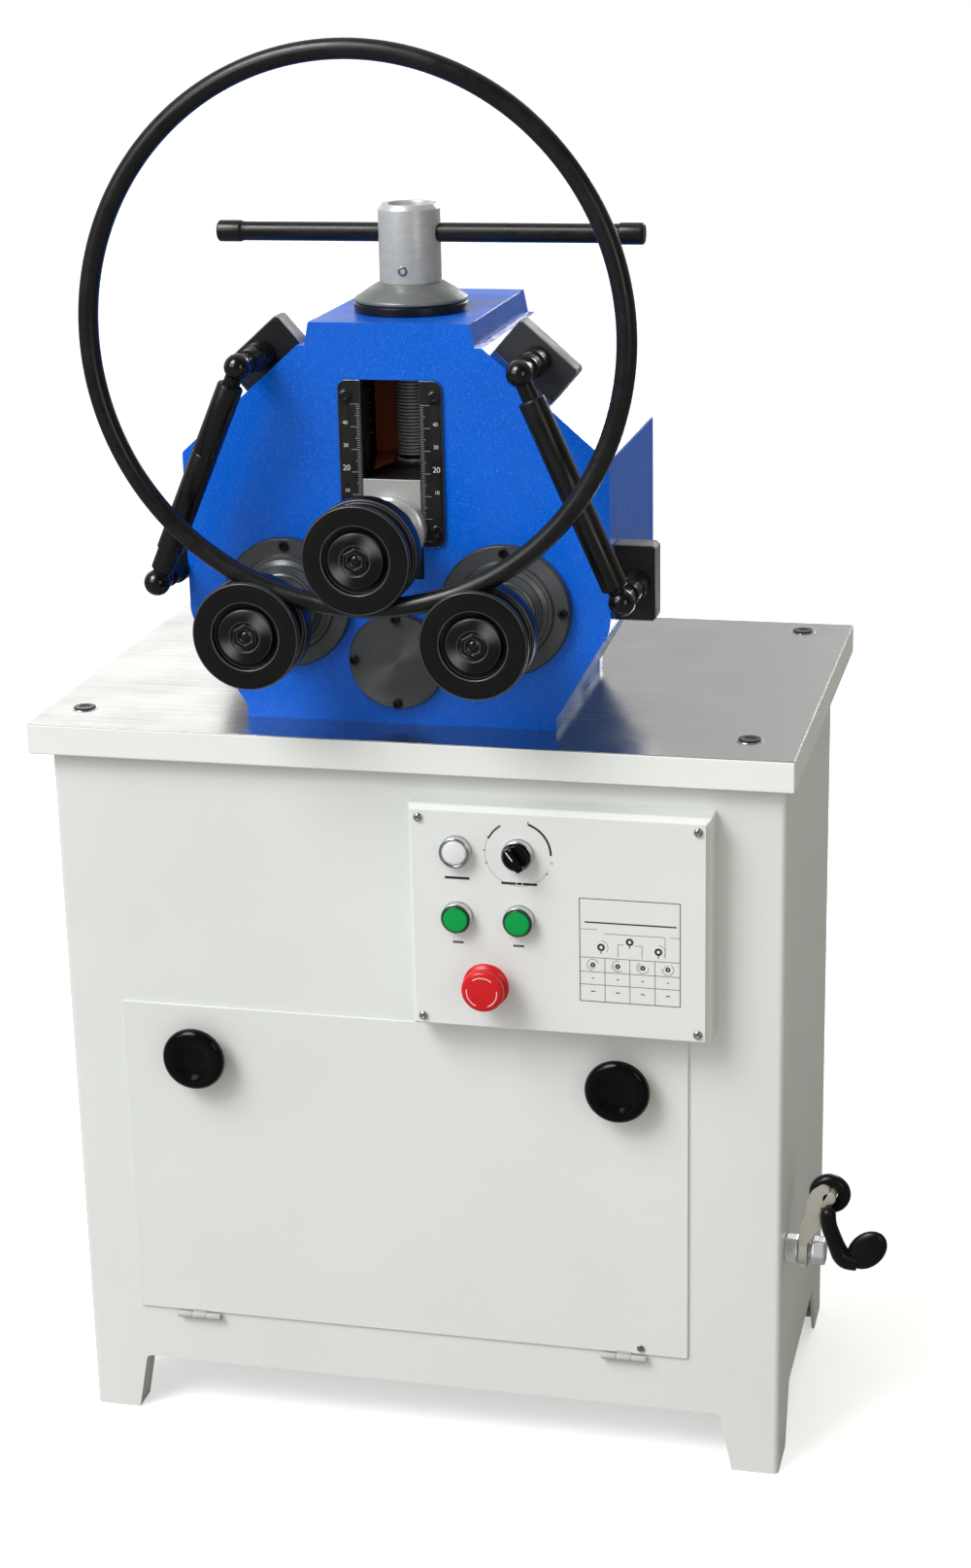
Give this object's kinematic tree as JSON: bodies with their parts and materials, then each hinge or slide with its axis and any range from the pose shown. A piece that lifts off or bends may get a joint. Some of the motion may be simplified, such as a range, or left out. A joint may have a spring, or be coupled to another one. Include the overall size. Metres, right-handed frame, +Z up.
{
  "type": "ring roller",
  "caption": "Floor-standing ring roller: grooved rolls on a head bend a bar into a ring above a cabinet with a control panel, a drop-down door and a screw-fed upper roll.",
  "frame": {"origin": "on the floor, at the centre of the four anchor holes in the cabinet's feet", "axes": "+X to the operator's right, +Y away from the operator to the back, +Z up"},
  "size_m": [0.7866, 0.5377, 1.3048],
  "materials": {
    "blue_paint": "powder coat with a fine sparkle",
    "grey_paint": "light grey powder coat",
    "stainless": "brushed stainless sheet",
    "chrome": "bright plated",
    "black_steel": "blackened steel, satin",
    "turned_steel": "turned steel, satin",
    "dark_steel": "dark turned steel",
    "white_lens": "milky lens",
    "black_plastic": "gloss black",
    "green_plastic": "gloss green",
    "red_plastic": "gloss red",
    "grey_plastic": "moulded",
    "black_rubber": "dipped rubber",
    "drive_grey": "painted casting"
  },
  "bodies": {
    "machine": {"cabinet_shell": "grey_paint", "back_panel": "grey_paint", "table_frame": "stainless", "table_top": "stainless", "table_bolts": "black_steel", "control_box": "grey_paint", "control_panel": "grey_paint", "panel_screws": "chrome", "control_bezels": "chrome", "lamp_lens": "white_lens", "contact_blocks": "grey_plastic", "door_hinges": "grey_paint", "lever_bolt": "chrome", "lever_nut": "chrome", "lever_arm": "grey_paint", "head_front_plate": "blue_paint", "head_housing": "blue_paint", "head_rear_cover": "blue_paint", "head_top_slab": "blue_paint", "scale_strips": "turned_steel", "head_screws": "black_steel", "slide_ways": "turned_steel", "spindle_nut": "black_steel", "bearing_flanges": "dark_steel", "centre_cover": "dark_steel", "shaft_bearings": "turned_steel", "guide_brackets": "turned_steel", "guide_studs": "turned_steel", "guide_rods": "black_steel", "gear_reducer": "drive_grey", "drive_motor": "drive_grey"},
    "door": {"door_panel": "grey_paint", "door_pulls": "black_plastic"},
    "side_lever": {"side_lever": "black_rubber"},
    "forward_button": {"forward_button": "green_plastic"},
    "reverse_button": {"reverse_button": "green_plastic"},
    "stop_plunger": {"stop_plunger": "grey_plastic"},
    "stop_head": {"stop_head": "red_plastic"},
    "speed_dial": {"speed_dial": "black_plastic"},
    "carriage": {"slide_carriage": "turned_steel", "keeper_plate": "black_steel", "upper_bearings": "turned_steel"},
    "spindle": {"spindle_screw": "turned_steel", "spindle_hub": "turned_steel"},
    "tommy_bar": {"tommy_bar": "black_steel"},
    "upper_roller": {"upper_shaft": "dark_steel", "upper_roll": "black_steel", "upper_cap": "black_steel"},
    "lower_left_roller": {"lower_left_shaft": "dark_steel", "lower_left_roll": "black_steel", "lower_left_cap": "black_steel", "left_gear": "turned_steel"},
    "lower_right_roller": {"lower_right_shaft": "dark_steel", "lower_right_roll": "black_steel", "lower_right_cap": "black_steel", "right_gear": "turned_steel"},
    "pinion": {"pinion_shaft": "turned_steel"},
    "left_guide_sleeve": {"left_guide_sleeve": "black_steel"},
    "right_guide_sleeve": {"right_guide_sleeve": "black_steel"},
    "ring": {"workpiece_ring": "black_steel"}
  },
  "joints": [
    {"name": "door_hinge", "type": "hinge", "parent": "machine", "child": "door", "pos_m": [-0.016, -0.1707, 0.1099], "axis": [1, 0, 0], "range_deg": [0, 90]},
    {"name": "lever_swing", "type": "hinge", "parent": "machine", "child": "side_lever", "pos_m": [0.377, -0.135, 0.2785], "axis": [0, -1, 0], "range_deg": [0, 100]},
    {"name": "forward_press", "type": "slide", "parent": "machine", "child": "forward_button", "axis": [0, 1, 0], "range_m": [0, 0.003], "stiffness_N_per_m": 300},
    {"name": "reverse_press", "type": "slide", "parent": "machine", "child": "reverse_button", "axis": [0, 1, 0], "range_m": [0, 0.003], "stiffness_N_per_m": 300},
    {"name": "stop_press", "type": "slide", "parent": "machine", "child": "stop_plunger", "axis": [0, 1, 0], "range_m": [0, 0.004], "stiffness_N_per_m": 600},
    {"name": "stop_twist", "type": "hinge", "parent": "stop_plunger", "child": "stop_head", "pos_m": [0.078, -0.22, 0.491], "axis": [0, 1, 0], "range_deg": [0, 45], "stiffness_Nm_per_rad": 0.05},
    {"name": "dial_turn", "type": "hinge", "parent": "machine", "child": "speed_dial", "pos_m": [0.106, -0.205, 0.611], "axis": [0, 1, 0], "range_deg": [-98, 172]},
    {"name": "upper_slide", "type": "slide", "parent": "machine", "child": "carriage", "axis": [0, 0, 1], "range_m": [0, 0.085]},
    {"name": "spindle_turn", "type": "hinge", "parent": "carriage", "child": "spindle", "pos_m": [-0.018, -0.042, 1], "axis": [0, 0, 1], "range_deg": [0, 10200]},
    {"name": "bar_slide", "type": "slide", "parent": "spindle", "child": "tommy_bar", "axis": [1, 0, 0], "range_m": [-0.158, 0.124]},
    {"name": "upper_spin", "type": "hinge", "parent": "carriage", "child": "upper_roller", "pos_m": [-0.018, -0.2275, 0.8812], "axis": [0, 1, 0], "continuous": true},
    {"name": "lower_left_spin", "type": "hinge", "parent": "machine", "child": "lower_left_roller", "pos_m": [-0.118, -0.2275, 0.8115], "axis": [0, 1, 0], "continuous": true},
    {"name": "lower_right_spin", "type": "hinge", "parent": "machine", "child": "lower_right_roller", "pos_m": [0.082, -0.2275, 0.8115], "axis": [0, 1, 0], "continuous": true},
    {"name": "pinion_spin", "type": "hinge", "parent": "machine", "child": "pinion", "pos_m": [-0.018, 0.037, 0.76106], "axis": [0, 1, 0], "continuous": true},
    {"name": "ring_spin", "type": "hinge", "parent": "machine", "child": "ring", "pos_m": [-0.018, -0.235, 1.0666], "axis": [0, 1, 0], "continuous": true},
    {"name": "left_guide_spin", "type": "hinge", "parent": "machine", "child": "left_guide_sleeve", "pos_m": [-0.222, -0.175, 0.8375], "axis": [0.4, 0, 0.9165], "continuous": true},
    {"name": "right_guide_spin", "type": "hinge", "parent": "machine", "child": "right_guide_sleeve", "pos_m": [0.195, -0.175, 0.835], "axis": [-0.4058, 0, 0.914], "continuous": true}
  ],
  "couplings": [
    {"joint": "upper_slide", "follows": "spindle_turn", "m_per_rad": 0.000477},
    {"joint": "lower_right_spin", "follows": "lower_left_spin", "ratio": 1},
    {"joint": "pinion_spin", "follows": "lower_left_spin", "ratio": -1.8},
    {"joint": "ring_spin", "follows": "lower_left_spin", "ratio": -0.15029},
    {"joint": "upper_spin", "follows": "lower_left_spin", "ratio": -0.92863}
  ]
}
